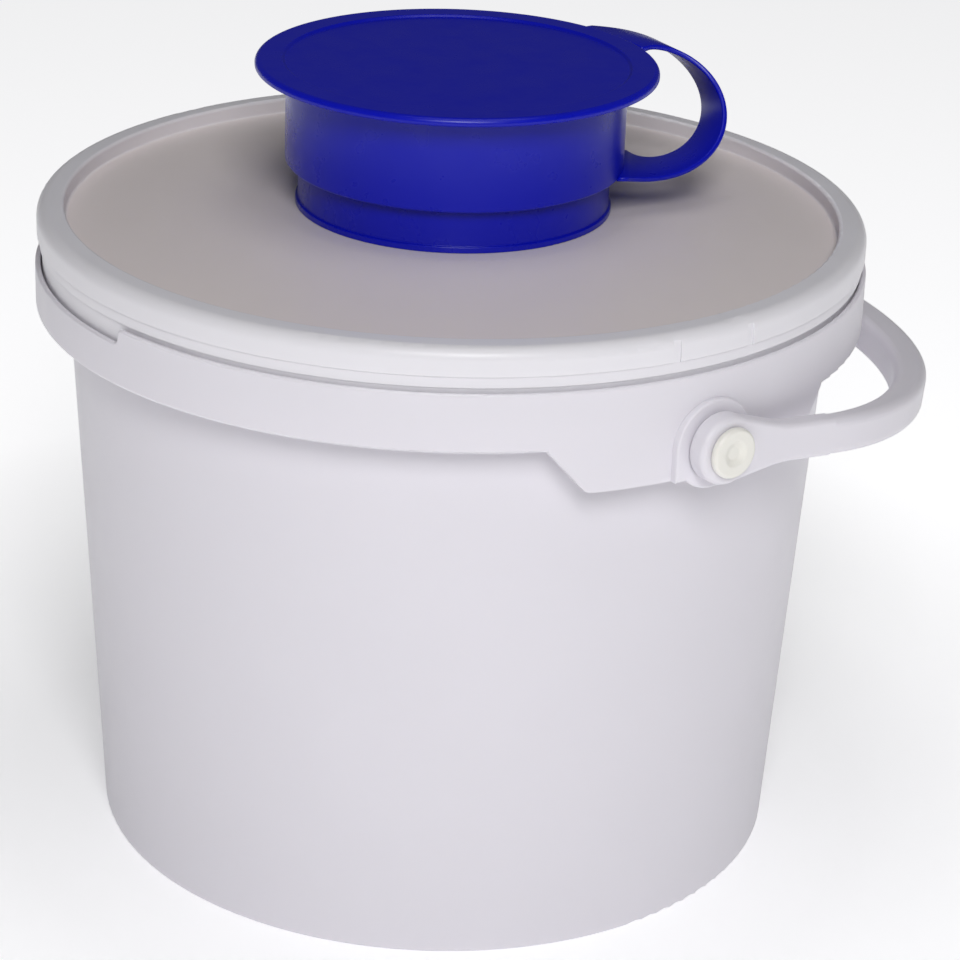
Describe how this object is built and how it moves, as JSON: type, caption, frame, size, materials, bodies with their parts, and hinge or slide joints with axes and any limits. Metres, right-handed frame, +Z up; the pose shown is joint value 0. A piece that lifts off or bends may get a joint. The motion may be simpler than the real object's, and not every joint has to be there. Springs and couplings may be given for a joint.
{
  "type": "plastic fermenting bucket",
  "caption": "Round white plastic pail with a press-on lid, a blue filler neck closed by a strapped plug cap, and a swinging plastic bail.",
  "frame": {"origin": "centre of the pail's base, in the plane of its foot ring", "axes": "+Z up the pail's axis, Y along the bail's pivots with the front pivot on -Y, +X towards the lowered bail"},
  "size_m": [0.2477, 0.2554, 0.2273],
  "materials": {
    "white_polypropylene": "moulded polypropylene, satin",
    "natural_polypropylene": "moulded polypropylene, natural and slightly see-through",
    "blue_polypropylene": "moulded polypropylene, semi-gloss",
    "nylon_pin": "moulded nylon, off-white",
    "seal_rubber": "soft grey elastomer"
  },
  "bodies": {
    "pail": {"bucket_body": "white_polypropylene", "pivot_pin_front": "nylon_pin", "pivot_pin_back": "nylon_pin"},
    "lid": {"lid": "natural_polypropylene", "lid_seal": "seal_rubber", "neck": "blue_polypropylene", "neck_gasket": "seal_rubber", "neck_nut": "blue_polypropylene", "cap_strap": "blue_polypropylene"},
    "cap": {"cap": "blue_polypropylene"},
    "bail": {"bail_handle": "white_polypropylene"}
  },
  "joints": [
    {"name": "lid_lift", "type": "slide", "parent": "pail", "child": "lid", "axis": [0, 0, 1], "range_m": [0, 0.06]},
    {"name": "cap_hinge", "type": "hinge", "parent": "lid", "child": "cap", "pos_m": [0.078, 0, 0.222], "axis": [0, 1, 0], "range_deg": [0, 165], "deforming": ["cap_strap"]},
    {"name": "bail_swing", "type": "hinge", "parent": "pail", "child": "bail", "pos_m": [0, 0, 0.1545], "axis": [0, -1, 0], "range_deg": [0, 192]}
  ]
}
